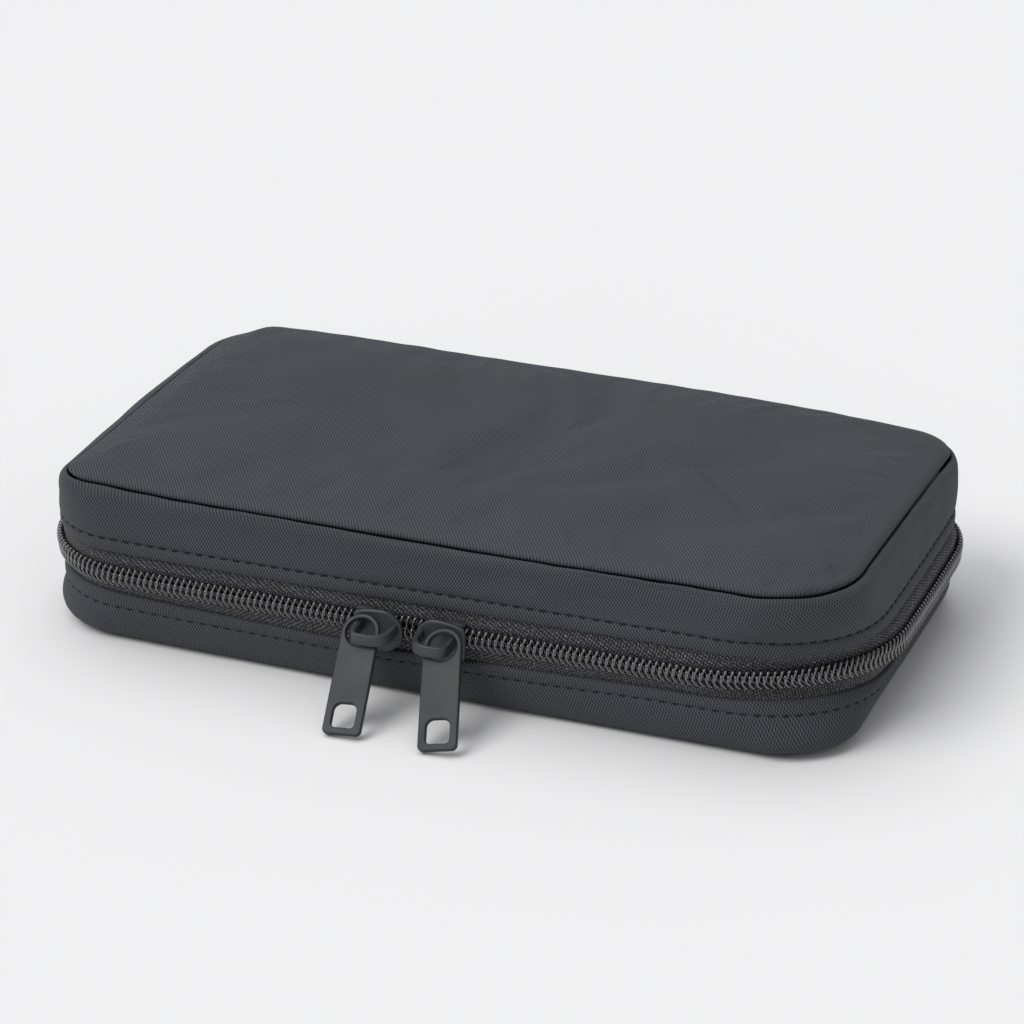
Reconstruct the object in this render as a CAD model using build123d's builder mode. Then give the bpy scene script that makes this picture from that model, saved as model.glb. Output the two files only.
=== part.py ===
from build123d import *
from math import sin, cos, radians
import os

# Cable organizer pouch: a padded clamshell of woven fabric. A lid half and a
# base half are joined by a fabric spine at the back and closed by a coil
# zipper that runs round the front and both sides, with two sliders meeting
# nose to nose at the front. Millimetres, +Z up, front at -Y, origin at the
# middle of the flat underside.

# ---- overall heights -------------------------------------------------------
Z_FOLD_LOW = 10.3        # folded top edge of the base gusset
Z_ZIP = 16.2             # parting plane of the zipper
Z_FOLD_HIGH = 22.7       # folded bottom edge of the lid gusset
Z_SEAM = 37.4            # seam between lid gusset and lid panel
Z_TOP = 41.3             # crown of the lid panel

# ---- outline half sizes (half length, half width, corner radius) -----------
FOLD = (95.3, 51.0, 24.0)      # at both folded edges
SEAM = (93.0, 49.2, 12.0)      # at the lid seam
BELLY = (93.4, 50.0, 17.0)     # base wall where it starts to turn under
SOLE = (91.4, 48.0, 15.0)      # edge of the resting face
BAND = (94.4, 50.1, 25.0)      # outside of the zipper tape and the spine

# ---- cloth and padding -----------------------------------------------------
T_CLOTH = 0.8            # coated twill with its backing
T_FOAM = 2.0
T_LINING = 0.5
T_TAPE = 0.9
R_LINING = 23.2          # lining corner where it meets the binding
TUCK = 2.0               # tape and spine tucked under the folded edges
FIT = 0.05               # gap between stacked layers

# ---- zipper ----------------------------------------------------------------
COIL_H = 2.7             # one row of the coil
COIL_T = 1.9
ZIP_GAP = 1.2            # between the two rows
X_COIL_END = 76.0        # the coil rows end on the back corners
X_TAPE_END = 68.0        # the tapes run on to the spine
X_SPINE = 67.8           # half length of the spine, along the straight back

# ---- lid hinge (line on the outside of the spine) --------------------------
Y_HINGE = 51.3
Z_HINGE = 20.75
HINGE_GAP = 0.45

# ---- sliders ---------------------------------------------------------------
SL_LEFT = (-15.6, -4.1)        # tail and nose of the left slider
SL_RIGHT = (10.6, -0.9)        # tail and nose of the right slider
PLATE_Z = (11.2, 21.2)
PLATE_OUT = (-53.3, -52.3)     # outer plate, from y to y
PLATE_IN = (-48.9, -47.9)      # inner plate behind the tape
BAIL_Z = (15.9, 18.5)
BAIL_Y = -60.8                 # outside of the arch
BAIL_T = 0.9

# ---- pull tabs -------------------------------------------------------------
RING_Y, RING_Z = -57.1, 17.0   # centre of the ring
LEAN = 46.0                    # out from the wall, end resting on the ground
TAB_T = 1.3
TAB_W = 8.8
TAB_TIP = 23.5                 # ring centre to the free end
RING_R = 4.3
RING_HOLE = 3.3
TABS = {"left": (-12.1, 5.5), "right": (7.1, 13.0)}   # ring x, swing angle

# ---- inside ----------------------------------------------------------------
POCKET = (82.0, -22.0, 43.0, 30.4, 35.75)   # half x, mouth y, back y, z to z
LOOP_Z0 = 4.7
LOOP_T = 0.9
LOOP_H = 7.6
LOOP_W = 20.0
LOOP_ROWS = {"front": -24.0, "back": 20.0}
LOOP_SPANS = ((-78.0, -32.0), (-23.0, 23.0), (32.0, 78.0))

os.makedirs("parts", exist_ok=True)


def rim(z, dims, inset=0.0):
    """One rounded outline at height z, drawn smaller by inset."""
    hx, hy, r = dims
    with BuildSketch(Plane.XY.offset(z)) as sk:
        RectangleRounded(2 * (hx - inset), 2 * (hy - inset), max(r - inset, 1.0))
    return sk.sketch


def solid_through(levels, inset=0.0, mode=Mode.ADD):
    """Ruled loft through (z, outline) levels."""
    for (za, a), (zb, b) in zip(levels[:-1], levels[1:]):
        loft(sections=[rim(za, a, inset), rim(zb, b, inset)], ruled=True, mode=mode)


def between(a, b, t):
    return tuple(p + (q - p) * t for p, q in zip(a, b))


def shrink(dims, d):
    return (dims[0] - d, dims[1] - d, max(dims[2] - d, 1.0))


def save(part, label):
    part.part.label = label
    export_step(part.part, f"parts/{label}.step")


# ---------------------------------------------------------------------------
# Lid half
# ---------------------------------------------------------------------------
Z_HEM_HIGH = Z_FOLD_HIGH + 2.3
Z_HEM_LOW = Z_FOLD_LOW - 2.3

# Crowned top panel: a sewn sheet over the foam pad.
CROWN = [
    (Z_SEAM, SEAM),
    (Z_SEAM + 1.2, (90.6, 46.8, 12.5)),
    (Z_SEAM + 2.4, (84.5, 40.7, 14.0)),
    (Z_SEAM + 3.3, (73.0, 29.2, 16.0)),
    (Z_TOP, (60.0, 16.6, 14.0)),
]
CROWN_IN = [(z - T_CLOTH, shrink(d, T_CLOTH)) for z, d in CROWN]
CROWN_IN[0] = (Z_SEAM, CROWN_IN[0][1])

with BuildPart() as lid_panel:
    solid_through(CROWN)
    solid_through(CROWN_IN, mode=Mode.SUBTRACT)
save(lid_panel, "lid_panel")

CROWN_FOAM = [(z - FIT, shrink(d, FIT)) for z, d in CROWN_IN]
CROWN_FOAM[0] = (Z_SEAM, shrink(SEAM, T_CLOTH + 2 * FIT))
with BuildPart() as lid_foam_pad:
    with BuildSketch(Plane.XY.offset(Z_SEAM - 1.0)):
        RectangleRounded(2 * 92.0, 2 * 48.2, 11.0)
    extrude(amount=1.0)
    solid_through(CROWN_FOAM)
save(lid_foam_pad, "lid_foam_pad")

# Lid wall: vertical over the hem, then drawn in to the seam.
LID_WALL = [(Z_FOLD_HIGH, FOLD), (Z_HEM_HIGH, FOLD), (Z_SEAM, SEAM)]
with BuildPart() as lid_gusset:
    solid_through(LID_WALL)
    solid_through(LID_WALL, inset=T_CLOTH, mode=Mode.SUBTRACT)
save(lid_gusset, "lid_gusset")


def lid_outer(z):
    t = (z - Z_HEM_HIGH) / (Z_SEAM - Z_HEM_HIGH)
    return between(FOLD, SEAM, min(max(t, 0.0), 1.0))


Z_LF0, Z_LF1 = Z_HEM_HIGH + 0.1, 36.2
LID_FOAM = [(z, shrink(lid_outer(z), T_CLOTH + FIT)) for z in (Z_LF0, Z_LF1)]
with BuildPart() as lid_wall_foam:
    solid_through(LID_FOAM)
    solid_through(LID_FOAM, inset=T_FOAM, mode=Mode.SUBTRACT)
save(lid_wall_foam, "lid_wall_foam")

# Lining: a sewn tray inside the foam, open downwards.
LINE_OUT_HIGH = shrink(LID_FOAM[0][1], T_FOAM + FIT)[:2] + (R_LINING,)
LINE_OUT_TOP = shrink(LID_FOAM[1][1], T_FOAM + FIT)
LID_LINE = [(Z_FOLD_HIGH - 0.3, LINE_OUT_HIGH), (Z_LF0, LINE_OUT_HIGH),
            (36.3, LINE_OUT_TOP)]
LID_LINE_IN = LID_LINE[:2] + [(36.3 - T_LINING, LINE_OUT_TOP)]
with BuildPart() as lid_lining:
    solid_through(LID_LINE)
    solid_through(LID_LINE_IN, inset=T_LINING, mode=Mode.SUBTRACT)
save(lid_lining, "lid_lining")

# Binding over the raw edges where hem, tape and lining meet.
with BuildPart() as lid_binding:
    with BuildSketch(Plane.XY.offset(Z_FOLD_HIGH - 0.5)):
        RectangleRounded(2 * 93.4, 2 * 49.1, 24.0)
        RectangleRounded(2 * 92.45, 2 * 48.15, 23.05, mode=Mode.SUBTRACT)
    extrude(amount=2.7)
save(lid_binding, "lid_binding")


def band(z0, z1, outer, inner, x_cut, spine=False):
    """Ring strip between two outlines: the back stretch within x_cut of the
    middle for the spine, everything else for the zipper."""
    with BuildSketch(Plane.XY.offset(z0)) as sk:
        RectangleRounded(2 * outer[0], 2 * outer[1], outer[2])
        RectangleRounded(2 * inner[0], 2 * inner[1], inner[2], mode=Mode.SUBTRACT)
    extrude(sk.sketch, amount=z1 - z0)
    with Locations((0, 60.0, (z0 + z1) / 2)):
        Box(2 * x_cut, 60.0, 40.0,
            mode=Mode.INTERSECT if spine else Mode.SUBTRACT)


BAND_IN = shrink(BAND, T_TAPE)
COIL_OUT = (BAND[0] + COIL_T + 0.02, BAND[1] + COIL_T + 0.02, BAND[2] + COIL_T)
COIL_IN = (BAND[0] + 0.02, BAND[1] + 0.02, BAND[2])

with BuildPart() as zipper_tape_upper:
    band(Z_ZIP + ZIP_GAP / 2, Z_FOLD_HIGH + TUCK, BAND, BAND_IN, X_TAPE_END)
save(zipper_tape_upper, "zipper_tape_upper")

with BuildPart() as zipper_coil_upper:
    band(Z_ZIP + ZIP_GAP / 2, Z_ZIP + ZIP_GAP / 2 + COIL_H, COIL_OUT, COIL_IN,
         X_COIL_END)
save(zipper_coil_upper, "zipper_coil_upper")

with BuildPart() as spine_upper:
    band(Z_HINGE + HINGE_GAP / 2, Z_FOLD_HIGH + TUCK, BAND, BAND_IN, X_SPINE, spine=True)
save(spine_upper, "spine_upper")

# Net pocket under the lid ceiling, open towards the front.
hx, y_mouth, y_back, z_net, z_ceil = POCKET
with BuildPart() as lid_mesh_pocket:
    with Locations((0, (y_mouth + y_back) / 2, z_net)):
        Box(2 * hx, y_back - y_mouth, z_ceil - z_net,
            align=(Align.CENTER, Align.CENTER, Align.MIN))
    fillet(lid_mesh_pocket.edges().filter_by(Axis.Z).group_by(Axis.Y)[-1], 8.0)
    with BuildSketch(Plane.XY.offset(z_net + 0.5)) as pocket_inside:
        with Locations((0, (y_mouth + y_back) / 2 - 0.8)):
            Rectangle(2 * hx - 1.2, y_back - y_mouth + 0.4)
        fillet(pocket_inside.vertices().group_by(Axis.Y)[-1], 7.4)
    extrude(amount=z_ceil - z_net, mode=Mode.SUBTRACT)
save(lid_mesh_pocket, "lid_mesh_pocket")

with BuildPart() as lid_pocket_elastic:
    with Locations((0, y_mouth + 4.0, z_net - 0.95)):
        Box(2 * hx, 8.0, 0.9, align=(Align.CENTER, Align.CENTER, Align.MIN))
    fillet(lid_pocket_elastic.edges().filter_by(Axis.X), 0.3)
save(lid_pocket_elastic, "lid_pocket_elastic")

# ---------------------------------------------------------------------------
# Base half
# ---------------------------------------------------------------------------
with BuildPart() as base_panel:
    with BuildSketch(Plane.XY):
        RectangleRounded(2 * SOLE[0], 2 * SOLE[1], SOLE[2])
    extrude(amount=0.85)
save(base_panel, "base_panel")

with BuildPart() as base_stiffener:
    with BuildSketch(Plane.XY.offset(0.9)):
        RectangleRounded(2 * 90.0, 2 * 46.6, 13.5)
    extrude(amount=1.2)
save(base_stiffener, "base_stiffener")

with BuildPart() as base_foam_pad:
    with BuildSketch(Plane.XY.offset(2.15)):
        RectangleRounded(2 * 89.9, 2 * 46.5, 13.4)
    extrude(amount=1.95)
save(base_foam_pad, "base_foam_pad")

BASE_WALL = [(0.9, SOLE), (3.5, BELLY), (Z_HEM_LOW, FOLD), (Z_FOLD_LOW, FOLD)]
with BuildPart() as base_gusset:
    solid_through(BASE_WALL)
    solid_through(BASE_WALL, inset=T_CLOTH, mode=Mode.SUBTRACT)
save(base_gusset, "base_gusset")

Z_BF0, Z_BF1 = 3.5, Z_HEM_LOW - 0.1
BASE_FOAM = [(Z_BF0, shrink(BELLY, T_CLOTH + FIT)),
             (Z_BF1, shrink(between(BELLY, FOLD, (Z_BF1 - 3.5) / (Z_HEM_LOW - 3.5)),
                            T_CLOTH + FIT))]
with BuildPart() as base_wall_foam:
    solid_through(BASE_FOAM)
    solid_through(BASE_FOAM, inset=T_FOAM, mode=Mode.SUBTRACT)
save(base_wall_foam, "base_wall_foam")

Z_LINE = 4.15
LINE_LOW = shrink(BASE_FOAM[0][1], T_FOAM + FIT)
LINE_HIGH = shrink(BASE_FOAM[1][1], T_FOAM + FIT)[:2] + (R_LINING,)
LINE_FOOT = between(LINE_LOW, LINE_HIGH, (Z_LINE - Z_BF0) / (Z_BF1 - Z_BF0))
BASE_LINE = [(Z_LINE, LINE_FOOT), (Z_BF1, LINE_HIGH), (Z_FOLD_LOW + 0.3, LINE_HIGH)]
BASE_LINE_IN = [(Z_LINE + T_LINING, LINE_FOOT)] + BASE_LINE[1:]
with BuildPart() as base_lining:
    solid_through(BASE_LINE)
    solid_through(BASE_LINE_IN, inset=T_LINING, mode=Mode.SUBTRACT)
save(base_lining, "base_lining")

with BuildPart() as base_binding:
    with BuildSketch(Plane.XY.offset(Z_HEM_LOW)):
        RectangleRounded(2 * 93.4, 2 * 49.1, 24.0)
        RectangleRounded(2 * 92.45, 2 * 48.15, 23.05, mode=Mode.SUBTRACT)
    extrude(amount=2.8)
save(base_binding, "base_binding")

with BuildPart() as zipper_tape_lower:
    band(Z_FOLD_LOW - TUCK, Z_ZIP - ZIP_GAP / 2, BAND, BAND_IN, X_TAPE_END)
save(zipper_tape_lower, "zipper_tape_lower")

with BuildPart() as zipper_coil_lower:
    band(Z_ZIP - ZIP_GAP / 2 - COIL_H, Z_ZIP - ZIP_GAP / 2, COIL_OUT, COIL_IN,
         X_COIL_END)
save(zipper_coil_lower, "zipper_coil_lower")

with BuildPart() as spine_lower:
    band(Z_FOLD_LOW - TUCK, Z_HINGE - HINGE_GAP / 2, BAND, BAND_IN, X_SPINE, spine=True)
save(spine_lower, "spine_lower")

# Clamped end stops that join the two coil rows at their back ends.
for side, sx in (("left", -1), ("right", 1)):
    with BuildPart() as zipper_stop:
        with Locations((sx * (X_COIL_END - 1.4), 50.6, Z_ZIP)):
            Box(2.0, 1.2, 2 * COIL_H + ZIP_GAP)
        fillet(zipper_stop.edges().filter_by(Axis.Y), 0.5)
    save(zipper_stop, f"zipper_stop_{side}")

# Elastic webbing sewn down between its loops.
for row, y_row in LOOP_ROWS.items():
    with BuildPart() as elastic_loops:
        with BuildSketch(Plane.XZ.offset(-(y_row + LOOP_W / 2))):
            with Locations((0, LOOP_Z0 + LOOP_T / 2)):
                Rectangle(2 * 84.0, LOOP_T)
            for x0, x1 in LOOP_SPANS:
                with BuildLine():
                    Polyline((x0, LOOP_Z0), (x0 + 5, LOOP_Z0 + LOOP_H),
                             (x1 - 5, LOOP_Z0 + LOOP_H), (x1, LOOP_Z0), close=True)
                make_face()
            for x0, x1 in LOOP_SPANS:
                with BuildLine():
                    Polyline((x0 + 1.6, LOOP_Z0 + LOOP_T),
                             (x0 + 5.7, LOOP_Z0 + LOOP_H - LOOP_T),
                             (x1 - 5.7, LOOP_Z0 + LOOP_H - LOOP_T),
                             (x1 - 1.6, LOOP_Z0 + LOOP_T), close=True)
                make_face(mode=Mode.SUBTRACT)
        extrude(amount=LOOP_W)
    save(elastic_loops, f"elastic_loops_{row}")

# ---------------------------------------------------------------------------
# Sliders, bails and pull tabs
# ---------------------------------------------------------------------------
ZC = (PLATE_Z[0] + PLATE_Z[1]) / 2
ZH = (PLATE_Z[1] - PLATE_Z[0]) / 2


def plate_points(tail, nose):
    """Shield-shaped plate: full round at the nose, narrower at the tail."""
    s = 1 if nose > tail else -1
    return [(tail, ZC - ZH + 1.6), (tail + s * 1.0, ZC - ZH + 1.0),
                 (tail + s * 3.5, ZC - ZH + 0.4), (nose - s * 4.6, ZC - ZH),
                 (nose - s * 2.6, ZC - ZH + 0.6), (nose - s * 0.7, ZC - ZH + 2.6),
                 (nose, ZC - 1.2), (nose, ZC + 1.2),
                 (nose - s * 0.7, ZC + ZH - 2.6), (nose - s * 2.6, ZC + ZH - 0.6),
                 (nose - s * 4.6, ZC + ZH), (tail + s * 3.5, ZC + ZH - 0.4),
                 (tail + s * 1.0, ZC + ZH - 1.0), (tail, ZC + ZH - 1.6)]


for side, (tail, nose) in (("left", SL_LEFT), ("right", SL_RIGHT)):
    s = 1 if nose > tail else -1
    with BuildPart() as slider_body:
        with BuildSketch(Plane.XZ.offset(-PLATE_OUT[1])):
            with BuildLine():
                Polyline(*plate_points(tail, nose), close=True)
            make_face()
        extrude(amount=PLATE_OUT[1] - PLATE_OUT[0])
        with BuildSketch(Plane.XZ.offset(-PLATE_IN[1])):
            with BuildLine():
                Polyline(*plate_points(tail, nose), close=True)
            make_face()
        extrude(amount=PLATE_IN[1] - PLATE_IN[0])
        # Web between the two rows at the nose end.
        with Locations((nose - s * 2.0, (PLATE_OUT[1] + PLATE_IN[0]) / 2, Z_ZIP)):
            Box(2.8, PLATE_IN[0] - PLATE_OUT[1] + 0.4, 0.5)
    save(slider_body, f"slider_{side}")

    # Arched bail: a flat band from the nose to the tail, round on the outside.
    xt, xn = tail + s * 1.7, nose - s * 0.9
    y0, y1, ym = PLATE_OUT[0], BAIL_Y, BAIL_Y + BAIL_T
    with BuildPart() as slider_bail:
        with BuildSketch(Plane.XY.offset(BAIL_Z[0])):
            with BuildLine():
                Polyline((xt, y0), (xt, y1 + 2.2), (xt + s * 0.7, y1 + 0.7),
                         (xt + s * 2.2, y1), (xn - s * 3.2, y1),
                         (xn - s * 1.2, y1 + 1.2), (xn, y1 + 3.6), (xn, y0),
                         (xn - s * 1.3, y0), (xn - s * 1.3, y1 + 3.9),
                         (xn - s * 2.0, y1 + 2.0), (xn - s * 3.5, ym),
                         (xt + s * 2.5, ym), (xt + s * 1.3, ym + 0.6),
                         (xt + s * 1.0, y1 + 2.4), (xt + s * 1.0, y0), close=True)
            make_face()
        extrude(amount=BAIL_Z[1] - BAIL_Z[0])
    save(slider_bail, f"slider_bail_{side}")

for side, (x_ring, swing) in TABS.items():
    # Tab plane: x across the tab, y up along it, normal out and up.
    out = Vector(0, -cos(radians(LEAN)), sin(radians(LEAN)))
    down = Vector(0, -sin(radians(LEAN)), -cos(radians(LEAN)))
    along = down * cos(radians(swing)) + Vector(1, 0, 0) * sin(radians(swing))
    across = along.cross(out)
    tab_plane = Plane(origin=(x_ring, RING_Y, RING_Z), x_dir=across, z_dir=out)
    with BuildPart() as pull_tab:
        with BuildSketch(tab_plane.offset(-TAB_T / 2)) as sk:
            Circle(RING_R)
            with BuildLine():
                Polyline((-RING_R, 0), (RING_R, 0), (TAB_W / 2, TAB_TIP - 10),
                         (TAB_W / 2, TAB_TIP - 1.2), (TAB_W / 2 - 1.2, TAB_TIP),
                         (-TAB_W / 2 + 1.2, TAB_TIP), (-TAB_W / 2, TAB_TIP - 1.2),
                         (-TAB_W / 2, TAB_TIP - 10), close=True)
            make_face()
            Circle(RING_HOLE, mode=Mode.SUBTRACT)
            with Locations((0, TAB_TIP - 1.6 - 2.75)):
                RectangleRounded(5.3, 5.5, 1.2, mode=Mode.SUBTRACT)
        extrude(amount=TAB_T)
    save(pull_tab, f"pull_tab_{side}")
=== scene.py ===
import bpy
import bmesh
import numpy as np
from math import cos, sin, pi, radians
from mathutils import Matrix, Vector


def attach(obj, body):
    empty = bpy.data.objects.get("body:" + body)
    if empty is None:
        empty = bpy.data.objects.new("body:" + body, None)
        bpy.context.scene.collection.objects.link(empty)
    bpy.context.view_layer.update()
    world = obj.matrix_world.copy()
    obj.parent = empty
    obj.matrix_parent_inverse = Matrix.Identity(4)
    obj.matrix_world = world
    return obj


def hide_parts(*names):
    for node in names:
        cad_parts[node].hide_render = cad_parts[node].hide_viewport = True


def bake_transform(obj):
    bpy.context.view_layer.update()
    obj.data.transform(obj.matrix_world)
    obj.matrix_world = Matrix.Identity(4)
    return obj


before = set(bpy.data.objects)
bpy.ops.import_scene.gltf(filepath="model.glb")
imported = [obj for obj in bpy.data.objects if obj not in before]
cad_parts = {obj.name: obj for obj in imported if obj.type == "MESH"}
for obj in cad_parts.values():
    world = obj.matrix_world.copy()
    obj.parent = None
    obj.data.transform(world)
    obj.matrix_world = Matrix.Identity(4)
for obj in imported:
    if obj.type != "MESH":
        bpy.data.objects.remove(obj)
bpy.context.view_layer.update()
MM = 0.001
scene = bpy.context.scene

# ---------------------------------------------------------------- outlines
NF, NS = 140, 78


def outline(x0, x1, y0, y1, r, bulge=(0, 0)):
    """Rounded outline in mm, anticlockwise from the 45 degree point of the front-left corner. r: fl, fr, br, bl."""
    fl, fr, br, bl = r

    def arc(cx, cy, rad, a0, a1, n=24):
        t = np.radians(np.linspace(a0, a1, n))
        return np.column_stack([cx + rad * np.cos(t), cy + rad * np.sin(t)])

    cfl, cfr = (x0 + fl, y0 + fl), (x1 - fr, y0 + fr)
    cbr, cbl = (x1 - br, y1 - br), (x0 + bl, y1 - bl)
    sides = [
        (np.vstack([arc(*cfl, fl, 225, 270), arc(*cfr, fr, 270, 315)]), NF),
        (np.vstack([arc(*cfr, fr, 315, 360), arc(*cbr, br, 0, 45)]), NS),
        (np.vstack([arc(*cbr, br, 45, 90), arc(*cbl, bl, 90, 135)]), NF),
        (np.vstack([arc(*cbl, bl, 135, 180), arc(*cfl, fl, 180, 225)]), NS),
    ]
    out = []
    for poly, n in sides:
        d = np.r_[0, np.cumsum(np.linalg.norm(np.diff(poly, axis=0), axis=1))]
        s = np.linspace(0, d[-1], n, endpoint=False)
        out.append(np.column_stack([np.interp(s, d, poly[:, 0]), np.interp(s, d, poly[:, 1])]))
    P = np.vstack(out)
    bx, by = bulge
    cx, cy = (x0 + x1) / 2, (y0 + y1) / 2
    hx, hy = (x1 - x0) / 2, (y1 - y0) / 2
    X, Y = (P[:, 0] - cx) / hx, (P[:, 1] - cy) / hy
    Q = P.copy()
    Q[:, 1] += np.sign(Y) * by * (1 - X**2) * np.abs(Y) ** 2
    Q[:, 0] += np.sign(X) * bx * (1 - Y**2) * np.abs(X) ** 2
    return Q


# z, x0, x1, y0, y1, corner radii (fl, fr, br, bl), bulge of the sides, all in mm
LEVEL = {
    "sole": (0.0, -89.5, 89.8, -46.8, 46.8, (15, 15, 15, 15), (0.8, 1.0)),
    "turn": (1.6, -92.6, 92.4, -49.2, 49.2, (15, 16, 16, 16), (0.8, 1.0)),
    "belly": (4.2, -94.0, 93.6, -50.2, 50.2, (16, 17, 17, 17), (0.9, 0.5)),
    "lstitch": (8.3, -94.6, 95.0, -50.8, 50.4, (20, 26, 22, 20), (0.9, 0.25)),
    "lfold": (10.3, -95.4, 95.5, -50.9, 50.4, (22, 31, 24, 21), (0.9, 0.25)),
    "zlow": (14.1, -97.0, 97.9, -52.3, 51.6, (24, 37, 26, 22), (1.2, 0.2)),
    "zhigh": (19.4, -97.3, 98.1, -52.3, 51.6, (24, 38, 26, 22), (1.2, 0.2)),
    "ufold": (22.7, -95.0, 95.6, -50.8, 50.4, (20, 31, 24, 20), (0.9, 0.25)),
    "ustitch": (25.3, -94.5, 95.1, -50.7, 50.4, (18, 29, 21, 19), (0.9, 0.25)),
    "mid": (31.0, -93.0, 94.3, -50.4, 50.2, (14, 22, 16, 16), (0.9, 0.3)),
    "shoulder": (35.5, -91.9, 93.5, -50.1, 50.1, (11, 21, 13, 14), (0.8, 0.5)),
    "seam": (37.2, -89.4, 92.2, -49.3, 49.3, (7, 20, 10, 12), (0.6, 0.4)),
}
# how far each level rides up along the front, over x
CLIMB = {
    "ustitch": ([-92, -60, 0, 60, 76, 92], [0.2, 0.2, 1.0, 1.8, 1.8, 0.6]),
    "ufold": ([-92, -60, 0, 60, 76, 92], [0.2, 0.2, 0.8, 1.5, 1.4, 0.5]),
    "zhigh": ([-92, -60, 0, 60, 76, 92], [0.3, 0.1, 0.3, 0.8, 0.8, 0.5]),
    "zlow": ([-92, -60, 0, 60, 76, 92], [0.6, 0.2, 0.5, 1.4, 1.5, 1.0]),
    "lfold": ([-92, -75, -60, -30, -6, 25, 53, 75, 92], [1.8, 1.6, 1.0, 0.3, 0.0, 0.9, 2.0, 2.3, 1.6]),
    "lstitch": ([-92, -60, -6, 25, 53, 75, 92], [1.0, 0.3, 0.0, 0.6, 1.8, 2.0, 1.4]),
    "seam": ([-90, -60, 30, 60, 80, 92], [1.0, 0.0, 0.0, 0.6, 0.4, 0.0]),
}
SAG = {"seam": 1.0, "shoulder": 0.8, "mid": 0.4}


def smooth(t):
    t = np.clip(t, 0, 1)
    return t * t * (3 - 2 * t)


def sag(x, y):
    """The back right corner of the lid is pressed down, and the back left one a little."""
    a = np.clip((x - 35) / 58, 0, 1) ** 2 * np.clip((y + 15) / 65, 0, 1) ** 1.5
    b = np.clip((-x - 60) / 32, 0, 1) ** 2 * np.clip((y - 5) / 45, 0, 1) ** 1.5
    return 2.6 * a + 1.0 * b + 0.5 * smooth((y - 18) / 26)


def level(k):
    z, x0, x1, y0, y1, r, b = LEVEL[k]
    P = outline(x0, x1, y0, y1, r, b)
    up = np.zeros(len(P))
    if k in CLIMB:
        up = smooth((-P[:, 1] - 18) / 28) * np.interp(P[:, 0], *CLIMB[k])
    up = up - SAG.get(k, 0) * sag(P[:, 0], P[:, 1])
    return np.column_stack([P, z + up])


LV = {k: level(k) for k in LEVEL}
N = len(LV["seam"])


def outward(R):
    """Outward directions in the plane, for a closed anticlockwise ring."""
    t = np.roll(R, -1, 0) - np.roll(R, 1, 0)
    n = np.column_stack([t[:, 1], -t[:, 0], np.zeros(len(R))])
    return n / np.linalg.norm(n, axis=1)[:, None]


def between(keys, t):
    """The ring at t along a list of levels, through all of them smoothly."""
    S = np.array([LV[k] for k in keys])
    z = np.array([LEVEL[k][0] for k in keys])
    i = int(np.clip(np.floor(t), 0, len(keys) - 2))
    f = t - i
    h = z[i + 1] - z[i]

    def tangent(j):
        if j == 0:
            return (S[1] - S[0]) / (z[1] - z[0])
        if j == len(keys) - 1:
            return (S[-1] - S[-2]) / (z[-1] - z[-2])
        return (S[j + 1] - S[j - 1]) / (z[j + 1] - z[j - 1])

    a, b = S[i], S[i + 1]
    m0, m1 = tangent(i) * h, tangent(i + 1) * h
    return (2 * f**3 - 3 * f**2 + 1) * a + (f**3 - 2 * f**2 + f) * m0 + (-2 * f**3 + 3 * f**2) * b + (f**3 - f**2) * m1


def waves(P, size, seed, count=9):
    """Smooth repeatable undulation of about unit height; size is its usual length in mm."""
    g = np.random.default_rng(seed)
    out = np.zeros(len(P))
    for _ in range(count):
        d = g.normal(size=3)
        d /= np.linalg.norm(d)
        k = 2 * pi / (size * g.uniform(0.6, 1.7))
        out += np.sin(P @ d * k + g.uniform(0, 2 * pi))
    return out / np.sqrt(count / 2) / 1.6


def crease(P, a, b, wide, deep):
    """A soft dent along the line a to b, in plan."""
    a, b = np.array(a, float), np.array(b, float)
    d = b - a
    t = np.clip((P[:, :2] - a) @ d / (d @ d), 0, 1)
    q = np.linalg.norm(P[:, :2] - (a + t[:, None] * d), axis=1)
    along = smooth(np.minimum(t, 1 - t) * 3 + 0.25)
    return deep * np.exp(-((q / wide) ** 2)) * along


# ---------------------------------------------------------------- meshes
def new_mesh(name, verts, faces, uv, mat, body=None, parent_ok=True, flat=False):
    """verts in mm; uv is a list of one pair per face corner, in centimetres of cloth."""
    me = bpy.data.meshes.new(name)
    me.from_pydata((np.asarray(verts) * MM).tolist(), [], [list(map(int, f)) for f in faces])
    if uv is not None:
        layer = me.uv_layers.new(name="UVMap")
        layer.data.foreach_set("uv", np.asarray(uv, np.float32).ravel())
    me.polygons.foreach_set("use_smooth", [not flat] * len(me.polygons))
    me.update()
    ob = bpy.data.objects.new(name, me)
    scene.collection.objects.link(ob)
    if mat is not None:
        me.materials.append(mat)
    if body:
        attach(ob, body)
    return ob


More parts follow.
